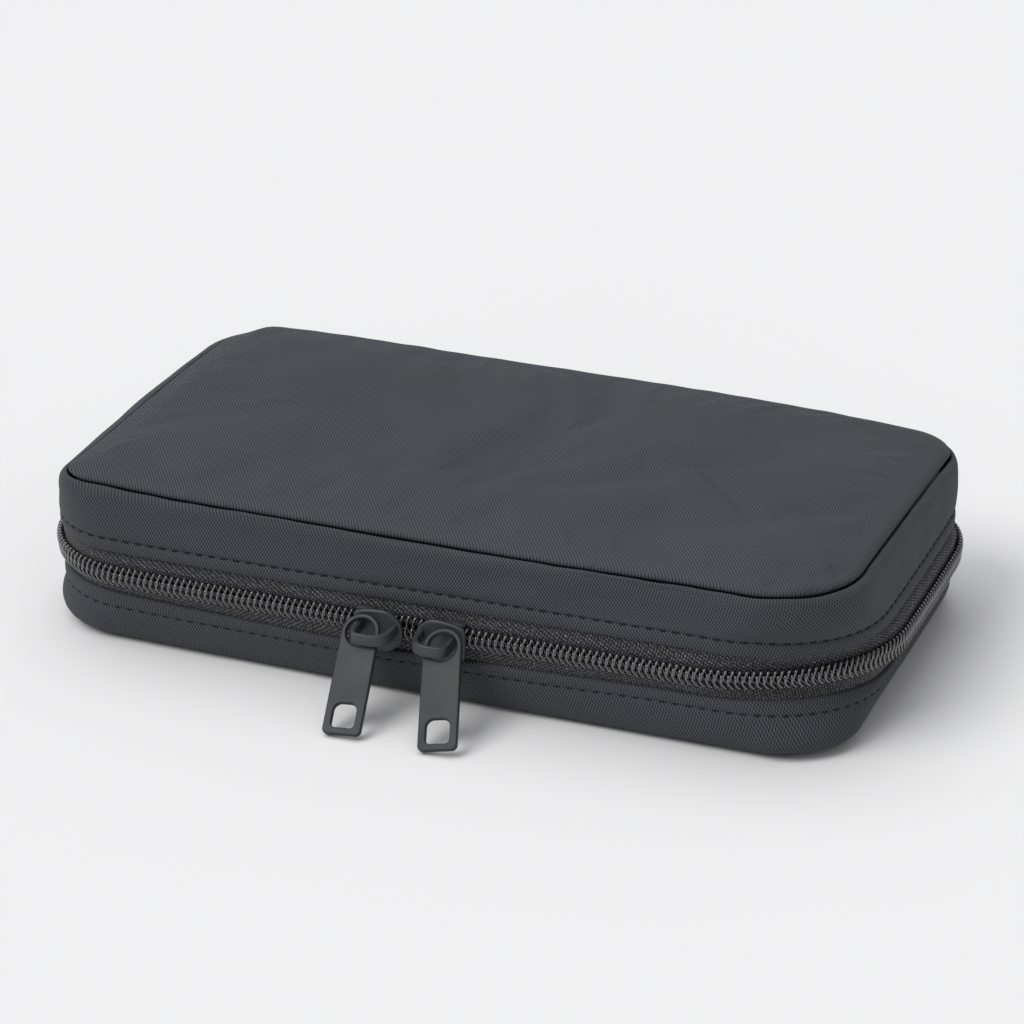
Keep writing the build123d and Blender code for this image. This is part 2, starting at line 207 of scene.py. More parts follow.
def grid(name, P, mat, body=None, wrap=False, wrap_rows=False, flip=False, caps=False, U=None, V=None):
    """P[row, column, xyz] in mm. Columns run round the piece; U and V are cloth coordinates in mm."""
    P = np.asarray(P, float)
    R, C, _ = P.shape
    verts = P.reshape(-1, 3)
    if U is None:
        step = np.linalg.norm(np.diff(P, axis=1), axis=2).mean(0)
        last = np.linalg.norm(P[:, 0] - P[:, -1], axis=1).mean()
        U = np.r_[0, np.cumsum(step), step.sum() + last]
        U = np.tile(U, (R + 1, 1))
    if V is None:
        step = np.linalg.norm(np.diff(P, axis=0), axis=2).mean(1)
        V = np.r_[0, np.cumsum(step), step.sum() + 1]
        V = np.tile(V[:, None], (1, C + 1))
    faces, uv = [], []
    for i in range(R if wrap_rows else R - 1):
        i2 = (i + 1) % R
        for j in range(C if wrap else C - 1):
            j2 = (j + 1) % C
            q = [i * C + j, i * C + j2, i2 * C + j2, i2 * C + j]
            w = [(U[i, j], V[i, j]), (U[i, j + 1], V[i, j + 1]), (U[i + 1, j + 1], V[i + 1, j + 1]), (U[i + 1, j], V[i + 1, j])]
            if flip:
                q, w = q[::-1], w[::-1]
            faces.append(q)
            uv.extend(w)
    if caps:
        for j, rev in ((0, False), (C - 1, True)):
            q = [i * C + j for i in range(R)]
            if rev != flip:
                q = q[::-1]
            faces.append(q)
            uv.extend([(0, 0)] * len(q))
    return new_mesh(name, verts, faces, np.array(uv) * 0.1, mat, body)


def loft(keys, profile, bumpy=None):
    """Rings from (t, outward, up) along the levels."""
    rings = []
    for t, o, dz in profile:
        R = between(keys, t)
        R = R + outward(R) * o
        R[:, 2] += dz
        rings.append(R)
    return np.array(rings)


def arc_u(R):
    d = np.linalg.norm(np.roll(R, -1, 0) - R, axis=1)
    return np.r_[0, np.cumsum(d)]


# ---------------------------------------------------------------- materials
def material(name):
    m = bpy.data.materials.new(name)
    m.use_nodes = True
    nt = m.node_tree
    nt.nodes.clear()
    out = nt.nodes.new("ShaderNodeOutputMaterial")
    bsdf = nt.nodes.new("ShaderNodeBsdfPrincipled")
    nt.links.new(bsdf.outputs[0], out.inputs[0])
    return m, nt, bsdf


def node(nt, kind, **values):
    n = nt.nodes.new(kind)
    for k, v in values.items():
        setattr(n, k, v)
    return n


def ramp(nt, src, stops, interpolation="LINEAR"):
    n = nt.nodes.new("ShaderNodeValToRGB")
    n.color_ramp.interpolation = interpolation
    e = n.color_ramp.elements
    while len(e) > 1:
        e.remove(e[-1])
    e[0].position, e[0].color = stops[0][0], (*stops[0][1], 1)
    for p, c in stops[1:]:
        x = e.new(p)
        x.color = (*c, 1)
    nt.links.new(src, n.inputs[0])
    return n.outputs[0]


def wave(nt, coords, pitch_mm, angle_deg, distortion=0.0, detail_scale=1.0, profile="SIN", per_cm=True):
    """Bands of the given pitch. The coordinates are in centimetres of cloth."""
    mp = nt.nodes.new("ShaderNodeMapping")
    mp.inputs["Rotation"].default_value = (0, 0, radians(angle_deg))
    nt.links.new(coords, mp.inputs["Vector"])
    w = nt.nodes.new("ShaderNodeTexWave")
    w.wave_type, w.bands_direction, w.wave_profile = "BANDS", "X", profile
    w.inputs["Scale"].default_value = 0.314159 / (pitch_mm * 0.1)
    w.inputs["Distortion"].default_value = distortion
    w.inputs["Detail"].default_value = 1.0
    w.inputs["Detail Scale"].default_value = detail_scale
    nt.links.new(mp.outputs[0], w.inputs["Vector"])
    return w.outputs["Fac"]


def noise(nt, coords, scale, detail=3.0, rough=0.55):
    n = nt.nodes.new("ShaderNodeTexNoise")
    n.inputs["Scale"].default_value = scale
    n.inputs["Detail"].default_value = detail
    n.inputs["Roughness"].default_value = rough
    nt.links.new(coords, n.inputs["Vector"])
    return n.outputs["Fac"]


def mix(nt, kind, a, b, fac, blend="MIX"):
    """Mix of two node outputs; fac is a number or an output."""
    n = nt.nodes.new("ShaderNodeMix")
    n.data_type = kind
    if kind == "RGBA":
        n.blend_type = blend
        A, B, out = n.inputs[6], n.inputs[7], n.outputs[2]
    else:
        A, B, out = n.inputs[2], n.inputs[3], n.outputs[0]
    if isinstance(fac, (int, float)):
        n.inputs[0].default_value = fac
    else:
        nt.links.new(fac, n.inputs[0])
    nt.links.new(a, A)
    nt.links.new(b, B)
    return out


def bump(nt, height, strength, distance, before=None):
    b = nt.nodes.new("ShaderNodeBump")
    b.inputs["Strength"].default_value = strength
    b.inputs["Distance"].default_value = distance
    nt.links.new(height, b.inputs["Height"])
    if before is not None:
        nt.links.new(before, b.inputs["Normal"])
    return b.outputs[0]


def rgb(r, g, b):
    def lin(v):
        v = v / 255
        return v / 12.92 if v <= 0.04045 else ((v + 0.055) / 1.055) ** 2.4
    return (lin(r), lin(g), lin(b))


def scaled(c, k):
    return tuple(x * k for x in c)


def cloth(name, colour, twill=0.68, angle=38, yarn=0.5, contrast=0.55, rough=0.68, sheen=0.02, relief=0.8, spread=0.1, spec=0.22, cross=0.36):
    """Woven cloth: a twill line, the yarns that cross it, slubs, and slow fading and handling marks."""
    m, nt, b = material(name)
    tc = nt.nodes.new("ShaderNodeTexCoord")
    uv = tc.outputs["UV"]
    line = wave(nt, uv, twill, angle, 0.35, 2.0)
    over = wave(nt, uv, yarn, angle + 62, 0.5, 3.0)
    weave = mix(nt, "RGBA", line, over, cross)
    fine = noise(nt, uv, 32.0, 2.0)
    slow = noise(nt, tc.outputs["Object"], 26.0, 4.0, 0.6)
    lo, hi = scaled(colour, 1 - contrast), scaled(colour, 1 + contrast)
    base = ramp(nt, weave, [(0.12, lo), (0.5, colour), (0.88, hi)])
    grain = ramp(nt, fine, [(0.3, (0.86, 0.86, 0.87)), (0.7, (1.14, 1.14, 1.13))])
    wear = ramp(nt, slow, [(0.28, (1 - spread,) * 3), (0.72, (1 + spread, 1 + spread, 1 + spread * 1.1))])
    c1 = mix(nt, "RGBA", base, grain, 1.0, "MULTIPLY")
    c2 = mix(nt, "RGBA", c1, wear, 1.0, "MULTIPLY")
    nt.links.new(c2, b.inputs["Base Color"])
    rr = ramp(nt, slow, [(0.3, (rough - 0.06,) * 3), (0.7, (rough + 0.06,) * 3)])
    nt.links.new(rr, b.inputs["Roughness"])
    n1 = bump(nt, weave, relief, 0.00012)
    n2 = bump(nt, fine, 0.25, 0.00015, n1)
    nt.links.new(n2, b.inputs["Normal"])
    b.inputs["Specular IOR Level"].default_value = spec
    b.inputs["Sheen Weight"].default_value = sheen
    b.inputs["Sheen Roughness"].default_value = 0.45
    return m


SHELL = rgb(63, 64, 70)
M_SHELL = cloth("m_shell_fabric", SHELL, twill=0.62, angle=-36, contrast=0.6, relief=0.7)
M_SHELL_WALL = cloth("m_shell_fabric_wall", SHELL, twill=0.66, angle=-38, yarn=0.6, contrast=0.75, cross=0.48, relief=1.0)
M_LINING = cloth("m_lining_fabric", rgb(46, 47, 51), twill=0.4, angle=0, yarn=0.4, contrast=0.2, rough=0.55, sheen=0.05, relief=0.35, spec=0.45)
M_BINDING = cloth("m_binding_tape", rgb(38, 39, 42), twill=0.9, angle=90, yarn=0.45, contrast=0.4, rough=0.7, sheen=0.2, relief=0.7)
M_ELASTIC = cloth("m_elastic", rgb(33, 33, 36), twill=1.5, angle=90, yarn=0.6, contrast=0.5, rough=0.75, sheen=0.25, relief=0.9)


def tape_material():
    m, nt, b = material("m_zipper_tape")
    tc = nt.nodes.new("ShaderNodeTexCoord")
    uv = tc.outputs["UV"]
    a = wave(nt, uv, 0.62, 24, 3.0, 9.0)
    c = wave(nt, uv, 0.8, -58, 3.6, 9.0)
    w = mix(nt, "RGBA", a, c, 0.5)
    f = noise(nt, uv, 20.0, 3.0, 0.7)
    t = mix(nt, "RGBA", w, f, 0.68)
    col = ramp(nt, t, [(0.38, rgb(12, 12, 14)), (0.5, rgb(44, 43, 47)), (0.6, rgb(90, 89, 96)), (0.74, rgb(144, 143, 151))])
    nt.links.new(col, b.inputs["Base Color"])
    rr = ramp(nt, f, [(0.3, (0.7,) * 3), (0.7, (0.85,) * 3)])
    nt.links.new(rr, b.inputs["Roughness"])
    nt.links.new(bump(nt, t, 0.9, 0.0003), b.inputs["Normal"])
    b.inputs["Specular IOR Level"].default_value = 0.3
    b.inputs["Sheen Weight"].default_value = 0.1
    return m


def moulded(name, colour, rough=0.4, metallic=0.0, spec=0.5, grain=500.0, spread=0.15, relief=0.12):
    """Smooth plastic or painted metal: faint texture, rubbed patches and uneven gloss."""
    m, nt, b = material(name)
    tc = nt.nodes.new("ShaderNodeTexCoord")
    o = tc.outputs["Object"]
    slow = noise(nt, o, grain * 0.35, 3.0)
    fine = noise(nt, o, grain * 4, 2.0)
    col = ramp(nt, slow, [(0.3, scaled(colour, 1 - spread)), (0.7, scaled(colour, 1 + spread))])
    nt.links.new(col, b.inputs["Base Color"])
    rr = ramp(nt, slow, [(0.25, (rough - 0.07,) * 3), (0.75, (rough + 0.08,) * 3)])
    nt.links.new(rr, b.inputs["Roughness"])
    nt.links.new(bump(nt, fine, relief, 0.00005), b.inputs["Normal"])
    b.inputs["Metallic"].default_value = metallic
    b.inputs["Specular IOR Level"].default_value = spec
    return m


M_TAPE = tape_material()
M_COIL = moulded("m_zipper_coil", rgb(32, 32, 36), rough=0.17, spec=1.0, grain=900, spread=0.25)
for q in M_COIL.node_tree.nodes:
    if q.type == "BSDF_PRINCIPLED":
        q.inputs["Coat Weight"].default_value = 1.0
        q.inputs["Coat Roughness"].default_value = 0.1
        q.inputs["Coat IOR"].default_value = 1.75
M_SLIDER = moulded("m_slider_metal", rgb(60, 61, 63), rough=0.45, metallic=0.1, spec=0.5, grain=420, spread=0.12)
M_PULL = moulded("m_pull_metal", rgb(46, 47, 49), rough=0.5, metallic=0.05, spec=0.35, grain=300, spread=0.08)
M_THREAD = moulded("m_thread", rgb(19, 20, 22), rough=0.7, spec=0.3, grain=1500, spread=0.3, relief=0.5)


def net_material():
    m, nt, b = material("m_mesh")
    tc = nt.nodes.new("ShaderNodeTexCoord")
    uv = tc.outputs["UV"]
    v = nt.nodes.new("ShaderNodeTexVoronoi")
    v.feature = "DISTANCE_TO_EDGE"
    v.inputs["Scale"].default_value = 5.5
    v.inputs["Randomness"].default_value = 0.15
    nt.links.new(uv, v.inputs["Vector"])
    f = noise(nt, uv, 30.0, 2.0)
    alpha = ramp(nt, v.outputs["Distance"], [(0.13, (1, 1, 1)), (0.19, (0, 0, 0))])
    col = ramp(nt, f, [(0.3, rgb(18, 18, 20)), (0.7, rgb(36, 36, 40))])
    nt.links.new(col, b.inputs["Base Color"])
    nt.links.new(alpha, b.inputs["Alpha"])
    rr = ramp(nt, f, [(0.3, (0.6,) * 3), (0.7, (0.75,) * 3)])
    nt.links.new(rr, b.inputs["Roughness"])
    nt.links.new(bump(nt, f, 0.5, 0.0002), b.inputs["Normal"])
    return m


M_NET = net_material()

# ---------------------------------------------------------------- lid wall
LID = ["ufold", "ustitch", "mid", "shoulder", "seam"]
prof = [
    (0.8, -1.7, 0), (0.3, -1.65, 0), (0, -1.5, -0.05), (0, -1.25, -0.45), (0, -0.85, -0.68), (0, -0.4, -0.62), (0, -0.08, -0.38), (0, 0.08, -0.05),
    (0.12, 0.16, 0), (0.3, 0.24, 0), (0.5, 0.25, 0), (0.7, 0.18, 0), (0.84, 0.04, 0), (0.93, -0.14, 0), (1.0, -0.26, 0),
    (1.03, -0.14, 0), (1.07, 0.02, 0), (1.13, 0.14, 0), (1.22, 0.24, 0), (1.35, 0.3, 0), (1.5, 0.32, 0), (1.65, 0.32, 0), (1.8, 0.3, 0),
    (2.0, 0.25, 0), (2.15, 0.22, 0), (2.3, 0.2, 0), (2.5, 0.2, 0), (2.7, 0.2, 0), (2.85, 0.2, 0), (3.0, 0.2, 0),
    (3.2, 0.2, 0), (3.4, 0.22, 0), (3.58, 0.24, 0), (3.72, 0.22, 0), (3.78, 0.16, 0.0), (3.88, 0.06, -0.02), (3.95, -0.08, -0.06), (4.0, -0.26, -0.14), (4.0, -0.44, -0.34), (4.0, -0.56, -0.7), (4.0, -0.62, -1.3), (4.0, -0.64, -2.2)]
W = loft(LID, prof)
rows = W.shape[0]
mid_amount = np.array([smooth((t - 1.0) / 0.5) * smooth((4.0 - t) / 0.6) if o > -0.6 else 0 for t, o, dz in prof])
for i in range(rows):
    n = outward(W[i])
    push = 0.16 * waves(W[i], 34, 3) + 0.08 * waves(W[i] * [1, 1, 1.6], 13, 4)
    # the front panel gives a little beside the right corner
    push -= 0.45 * np.exp(-(((W[i][:, 0] - 52) / 16) ** 2)) * (W[i][:, 1] < -30)
    push -= 0.35 * np.exp(-(((W[i][:, 0] - 20) / 9) ** 2 + ((W[i][:, 2] - 33) / 3) ** 2)) * (W[i][:, 1] < -30)
    W[i] += n * (push * mid_amount[i])[:, None]
    near = 1.0 if prof[i][0] > 3.5 else 0.0
    W[i][:, 2] += near * 0.12 * waves(W[i], 11, 9)
u = arc_u(LV["mid"])
U = np.tile(u, (rows + 1, 1))
V = np.r_[0, np.cumsum(np.linalg.norm(np.diff(W, axis=0), axis=2).mean(1)), 99]
V = np.tile(V[:, None], (1, N + 1))
lid_wall = grid("lid_gusset_cloth", W, M_SHELL_WALL, "lid", wrap=True, U=U, V=V)
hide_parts("lid_gusset", "lid_wall_foam")

# ---------------------------------------------------------------- lid panel
z, x0, x1, y0, y1, r, b = LEVEL["seam"]
EDGE = [(2.1, -2.2), (2.05, -1.5), (1.9, -0.95), (1.6, -0.6), (1.25, -0.38), (0.95, -0.12), (0.74, 0.18), (0.66, 0.5), (0.76, 0.84), (1.02, 1.16), (1.45, 1.45), (2.05, 1.7), (2.85, 1.91), (3.8, 2.1), (4.9, 2.27), (6.2, 2.43), (7.6, 2.57)]
CROWN = ([7.6, 9.6, 14, 19, 26, 33, 41, 49], [2.57, 2.72, 3.0, 3.22, 3.45, 3.6, 3.7, 3.75])
inner_rings = [(t, float(np.interp(t, *CROWN))) for t in list(np.arange(9.2, 48.5, 1.75)) + [48.7]]
insets = EDGE + inner_rings
seam = LV["seam"]
rings = []
for t, h in insets:
    R = outline(x0 + t, x1 - t, y0 + t, y1 - t, tuple(max(q - 0.55 * t, 0.35 * (49 - t) * 0.5 if q - 0.55 * t < 0 else 1.2) for q in r), (b[0], b[1]))
    lift = (seam[:, 2] - z) * np.exp(-t / 16)
    side = smooth((-80 - R[:, 0]) / 6) * smooth((R[:, 1] + 46) / 8)     # the left edge is pulled flatter
    if h > 0:
        h = h * (1 - 0.62 * side * np.exp(-max(t - 1, 0) / 6))
    R = R + np.column_stack([side * 0.3 * np.exp(-max(t - 1, 0) / 3), np.zeros(len(R))])
    zz = z + h + lift
    rings.append(np.column_stack([R, zz]))
T = np.array(rings)
for i, (t, h) in enumerate(insets):
    a = smooth((t - 1.6) / 6) if h > 1 else 0.0
    P = T[i]
    P[:, 2] += a * (0.34 * waves(P, 44, 11) + 0.12 * waves(P, 18, 12))
    P[:, 2] -= a * (crease(P, (10, -24), (44, -2), 5.5, 1.0) + crease(P, (26, -36), (64, -24), 5, 0.7) + crease(P, (-10, -18), (20, 4), 6, 0.6)
                    + crease(P, (62, -26), (80, -6), 5, 0.6) + crease(P, (-78, 18), (-52, 34), 7, 0.4) + crease(P, (48, 20), (82, 40), 9, 0.8) - crease(P, (0, -32), (40, -14), 5, 0.5) - crease(P, (8, 6), (52, 10), 6, 0.5))
    e = np.exp(-(((t - 3.0) / 3.0) ** 2)) * (1.0 if h > 0.5 else 0.3)
    P[:, 2] += e * 0.10 * waves(P, 8.5, 14)
    far = smooth((P[:, 0] - 68) / 10) * smooth((-P[:, 1] - 20) / 14)
    P[:, 2] += e * 0.30 * far * waves(P, 6.5, 15)


def close_rings(T, name, mat, body, flip=False):
    """Concentric rings whose last one is a slit: the slit is zipped across."""
    R, C, _ = T.shape
    verts = T.reshape(-1, 3)
    faces, uv = [], []
    for i in range(R - 1):
        for j in range(C):
            j2 = (j + 1) % C
            faces.append([i * C + j, i * C + j2, (i + 1) * C + j2, (i + 1) * C + j])
    base = (R - 1) * C
    front = list(range(0, NF + 1))
    right = list(range(NF, NF + NS + 1))
    back = list(range(2 * NF + NS, NF + NS - 1, -1))
    left = [x % C for x in range(2 * NF + 2 * NS, 2 * NF + NS - 1, -1)]
    for a in range(NF):
        faces.append([base + front[a], base + front[a + 1], base + back[a + 1], base + back[a]])
    faces.append([base + x for x in right])
    faces.append([base + x for x in left[::-1]])
    if flip:
        faces = [f[::-1] for f in faces]
    for f in faces:
        uv.extend([(verts[k][0], verts[k][1]) for k in f])
    return new_mesh(name, verts, faces, np.array(uv) * 0.1, mat, body)


lid_top = close_rings(T, "lid_panel_cloth", M_SHELL, None)
def settle(ob, held, frames=18, pressure=3.0, slack=-0.010):
    """Lets the stitched-down cover settle as cloth: edges held in the seam, blown up by its padding, cut a little large."""
    g = ob.vertex_groups.new(name="held")
    for w_, idx in held:
        g.add([int(k) for k in idx], float(w_), "REPLACE")
    rest = np.array([v.co for v in ob.data.vertices])
    m = ob.modifiers.new("cloth", "CLOTH")
    st = m.settings
    st.quality = 6
    st.mass = 0.12
    st.tension_stiffness = st.compression_stiffness = 12
    st.shear_stiffness = 6
    st.bending_stiffness = 3.0
    st.tension_damping = st.compression_damping = 12
    st.bending_damping = 2
    st.air_damping = 4
    st.shrink_min = slack
    st.vertex_group_mass = "held"
    st.pin_stiffness = 3
    st.use_pressure = True
    st.uniform_pressure_force = pressure
    st.effector_weights.gravity = 0
    m.collision_settings.use_collision = False
    m.point_cache.frame_start, m.point_cache.frame_end = 1, frames
    scene.frame_start, scene.frame_end = 1, frames
    for k in range(1, frames + 1):
        scene.frame_set(k)
    dg = bpy.context.evaluated_depsgraph_get()
    got = np.array([v.co for v in ob.evaluated_get(dg).data.vertices])
    ob.modifiers.remove(m)
    scene.frame_set(1)
    move = got - rest
    limit = 0.0011                       # the padding under it holds the cover close
    n = np.linalg.norm(move, axis=1)
    move *= (limit * np.tanh(n / limit) / np.maximum(n, 1e-9))[:, None]
    ob.data.vertices.foreach_set("co", (rest + move).astype(np.float32).ravel())
    ob.data.update()


C_ = N
ring_t = [t for t, h in insets]
held = []
for k, (t, h) in enumerate(insets):
    w_ = 1.0 if (t < 3.2 or h < 1.0) else (0.9 if t < 4.5 else max(0.0, 0.5 - 0.05 * t))
    if w_ > 0:
        held.append((w_, range(k * C_, (k + 1) * C_)))
settle(lid_top, held)
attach(lid_top, "lid")
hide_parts("lid_panel", "lid_foam_pad")

# ---------------------------------------------------------------- base wall and base panel
BASE = ["sole", "turn", "belly", "lstitch", "lfold"]
prof = [
    (0, -3.2, 0.9), (0, -3.1, 0.45), (0, -2.6, 0.15), (0, -1.6, 0.04), (0, -0.6, 0.0), (0.12, 0, -0.05), (0.3, 0.06, -0.06), (0.5, 0.08, -0.05), (0.75, 0.1, 0), (1.0, 0.1, 0), (1.3, 0.12, 0), (1.6, 0.15, 0),
    (2.0, 0.2, 0), (2.2, 0.22, 0), (2.4, 0.22, 0), (2.6, 0.2, 0), (2.75, 0.15, 0), (2.87, 0.04, 0), (2.95, -0.1, 0), (3.0, -0.2, 0), (3.06, -0.1, 0), (3.14, 0.02, 0), (3.28, 0.12, 0), (3.5, 0.2, 0), (3.75, 0.18, 0), (3.92, 0.1, 0),
    (4, -0.02, 0.12), (4, -0.2, 0.38), (4, -0.6, 0.6), (4, -1.0, 0.6), (4, -1.35, 0.38), (4, -1.5, 0), (3.7, -1.6, 0), (3.2, -1.65, 0)]
B = loft(BASE, prof)
for i, (t, o, dz) in enumerate(prof):
    a = smooth((t - 0.4) / 1.0) * smooth((3.0 - t) / 0.5)
    n = outward(B[i])
    B[i] += n * (a * (0.2 * waves(B[i], 38, 21) + 0.08 * waves(B[i], 14, 22)))[:, None]
    B[i][:, 2] = np.maximum(B[i][:, 2], 0.0)
u = arc_u(LV["belly"])
U = np.tile(u, (len(prof) + 1, 1))
V = np.r_[0, np.cumsum(np.linalg.norm(np.diff(B, axis=0), axis=2).mean(1)), 99]
V = np.tile(V[:, None], (1, N + 1))
base_wall = grid("base_gusset_cloth", B, M_SHELL_WALL, "base", wrap=True, U=U, V=V)
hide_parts("base_gusset", "base_wall_foam")

z, x0, x1, y0, y1, r, b = LEVEL["sole"]
rings = []
for t in [3.0, 3.05, 3.2, 3.5, 4.0, 4.8, 6.0, 8.0] + list(np.arange(10.5, 46, 2.6)) + [46.3]:
    R = outline(x0 + t, x1 - t, y0 + t, y1 - t, tuple(max(q - 0.5 * t, 1.0 if t < 44 else 0.3) for q in r), b)
    zz = np.interp(t, [3.0, 3.2, 3.6, 4.4, 6, 50], [1.0, 0.55, 0.25, 0.08, 0.03, 0.03])
    P = np.column_stack([R, np.full(len(R), zz)])
    P[:, 2] += 0.12 * smooth((t - 6) / 6) * (0.5 + 0.5 * waves(P, 30, 31)).clip(0, 1)
    rings.append(P)
base_floor = close_rings(np.array(rings), "base_panel_cloth", M_SHELL, "base", flip=True)
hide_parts("base_panel", "base_stiffener", "base_foam_pad")


# ---------------------------------------------------------------- open paths round three sides, for tape and coil
def resample(P, step):
    d = np.r_[0, np.cumsum(np.linalg.norm(np.diff(P, axis=0), axis=1))]
    n = max(2, int(round(d[-1] / step)) + 1)
    s = np.linspace(0, d[-1], n)
    return np.column_stack([np.interp(s, d, P[:, k]) for k in range(3)]), s


def three_sides(R, xend):
    """The ring from the back left at -xend, round the left, front and right, to the back right at xend."""
    i0 = NF + NS                      # back right corner point
    order = [k % N for k in range(2 * NF + NS - 40, 2 * NF + 2 * NS)] + list(range(0, i0 + 40))
    P = R[order]
    keep = ~((P[:, 1] > 30) & (np.abs(P[:, 0]) < xend))
    return P[keep], np.array(order)[keep]


def tube(name, C, rad, sides, mat, body, frames=None, close=True):
    """A round filament along the points C, with a radius for each point."""
    C = np.asarray(C, float)
    rad = np.broadcast_to(rad, (len(C),))
    t = np.gradient(C, axis=0)
    t /= np.linalg.norm(t, axis=1)[:, None]
    ref = np.tile([0.0, 0.0, 1.0], (len(C), 1))
    swap = np.abs(t[:, 2]) > 0.9
    if frames is not None:
        ref = frames
    else:
        ref[swap] = [0, 1, 0]
    a = np.cross(t, ref)
    a /= np.linalg.norm(a, axis=1)[:, None]
    b2 = np.cross(t, a)
    ang = np.linspace(0, 2 * pi, sides, endpoint=False)
    P = C[:, None, :] + rad[:, None, None] * (np.cos(ang)[None, :, None] * a[:, None, :] + np.sin(ang)[None, :, None] * b2[:, None, :])
    verts = P.reshape(-1, 3)
    i, j = np.meshgrid(np.arange(len(C) - 1), np.arange(sides), indexing="ij")
    i, j = i.ravel(), j.ravel()
    j2 = (j + 1) % sides
    faces = np.column_stack([i * sides + j, (i + 1) * sides + j, (i + 1) * sides + j2, i * sides + j2]).tolist()
    if close:
        faces.append(list(range(sides)))
        faces.append([(len(C) - 1) * sides + k for k in range(sides)][::-1])
    return verts, faces


# middle line of the closed chain
zmid = (LV["zhigh"] + LV["zlow"]) / 2
ZC = LV["zhigh"][:, 2] - 1.75, LV["zlow"][:, 2] + 1.75


def coil(name, upper, body, nodes):
    R = (LV["zhigh"] if upper else LV["zlow"]).copy()
    n = outward(R)
    R = R - n * 0.98
    R[:, 2] += -1.78 if upper else 1.78
    P, idx = three_sides(R, 76)
    nn = n[idx]
    PN = np.hstack([P, nn])
    d = np.r_[0, np.cumsum(np.linalg.norm(np.diff(P, axis=0), axis=1))]
    pitch, seg = 1.5, 18
    loops = int(d[-1] / pitch)
    k = np.arange(loops * seg + 1)
    th = k / seg * 2 * pi + (0 if upper else pi)
    s = k / seg * pitch
    # tall flat loops: the front strand stands straight, the back one carries the pitch
    zz = np.sin(th)
    yy = np.cos(th)
    ph = (th / (2 * pi)) % 1.0
    turn = np.floor(th / (2 * pi))
    f = np.where((ph > 0.25) & (ph < 0.75), (ph - 0.25) * 2, np.where(ph >= 0.75, 1.0, 0.0))
    s = (turn + 0.35 * ph + 0.65 * smooth(f) + (0.0 if upper else 0.5)) * pitch
    zz = np.sign(zz) * np.abs(zz) ** 0.85
    yy = np.sign(yy) * np.abs(yy) ** 0.7
    lean = (0.5 * np.maximum(0, zz) ** 2) if upper else (1.35 * np.maximum(0, -zz) ** 1.5)
    s2 = np.clip(s + lean, 0, d[-1])
    Q = np.column_stack([np.interp(s2, d, PN[:, c]) for c in range(6)])
    c, nrm = Q[:, :3], Q[:, 3:]
    nrm /= np.linalg.norm(nrm, axis=1)[:, None]
    part = np.exp(-(((c[:, 0] + 2.5) / 3.2) ** 2)) * (c[:, 1] < 0) * (0.75 if upper else -0.75)
    up = 1.45 * zz + part
    c = c + nrm * (0.62 * yy - (0.2 * np.maximum(0, -zz) if upper else 0.0))[:, None]
    c[:, 2] += up
    head = -zz if upper else zz
    rad = 0.25 + (0.08 * np.clip(zz, 0, 1) if upper else 0.09 * smooth((zz + 0.4) / 0.8))
    frames = np.cross(np.gradient(c, axis=0), nrm)
    frames /= np.linalg.norm(frames, axis=1)[:, None] + 1e-9
    v, f = tube(name, c, rad, 7, None, None, frames=nrm + 0.01)
    ob = new_mesh(name, v, f, None, M_COIL, body)
    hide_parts(nodes)
    return ob


coil_u = coil("zipper_coil_upper_loops", True, "lid", "zipper_coil_upper")
coil_l = coil("zipper_coil_lower_loops", False, "base", "zipper_coil_lower")


def tape(name, upper, body, nodes):
    zh, zl, uf, lf = LV["zhigh"], LV["zlow"], LV["ufold"], LV["lfold"]
    m = (zh + zl) / 2
    nz, nu, nl = outward(zh), outward(uf), outward(lf)
    if upper:
        lines = [(m, nz, -1.95, 0.32), (m, nz, -1.95, 1.2), (zh, nz, -1.95, -0.9), (zh, nz, -1.85, 0.0), (zh, nz, -1.75, 0.45), (zh, nz, -1.85, 0.8), (zh * 0.5 + uf * 0.5, nz, -1.4, 0.2), (uf, nu, -0.9, -0.9), (uf, nu, -1.05, 0.4), (uf, nu, -1.1, 1.9)]
    else:
        lines = [(m, nz, -1.95, -0.32), (m, nz, -1.95, -1.2), (zl, nz, -1.95, 0.9), (zl, nz, -1.85, 0.0), (zl, nz, -1.75, -0.45), (zl, nz, -1.85, -0.8), (zl * 0.5 + lf * 0.5, nz, -1.4, -0.2), (lf, nl, -0.9, 0.9), (lf, nl, -1.05, -0.4), (lf, nl, -1.1, -1.9)]
    out = []
    for R, n, o, dz in lines:
        Q = R + n * o
        Q = Q + [0, 0, dz]
        out.append(Q)
    back = [Q + outward(Q) * -0.75 for Q in out[::-1]]
    allr = np.array(out + back)
    P0, idx = three_sides(allr[0], 67.5)
    P = allr[:, idx]
    ob = grid(name, P, M_TAPE, body, wrap_rows=True, caps=True, flip=not upper)
    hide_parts(nodes)
    return ob


tape_u = tape("zipper_tape_upper_knit", True, "lid", "zipper_tape_upper")
tape_l = tape("zipper_tape_lower_knit", False, "base", "zipper_tape_lower")


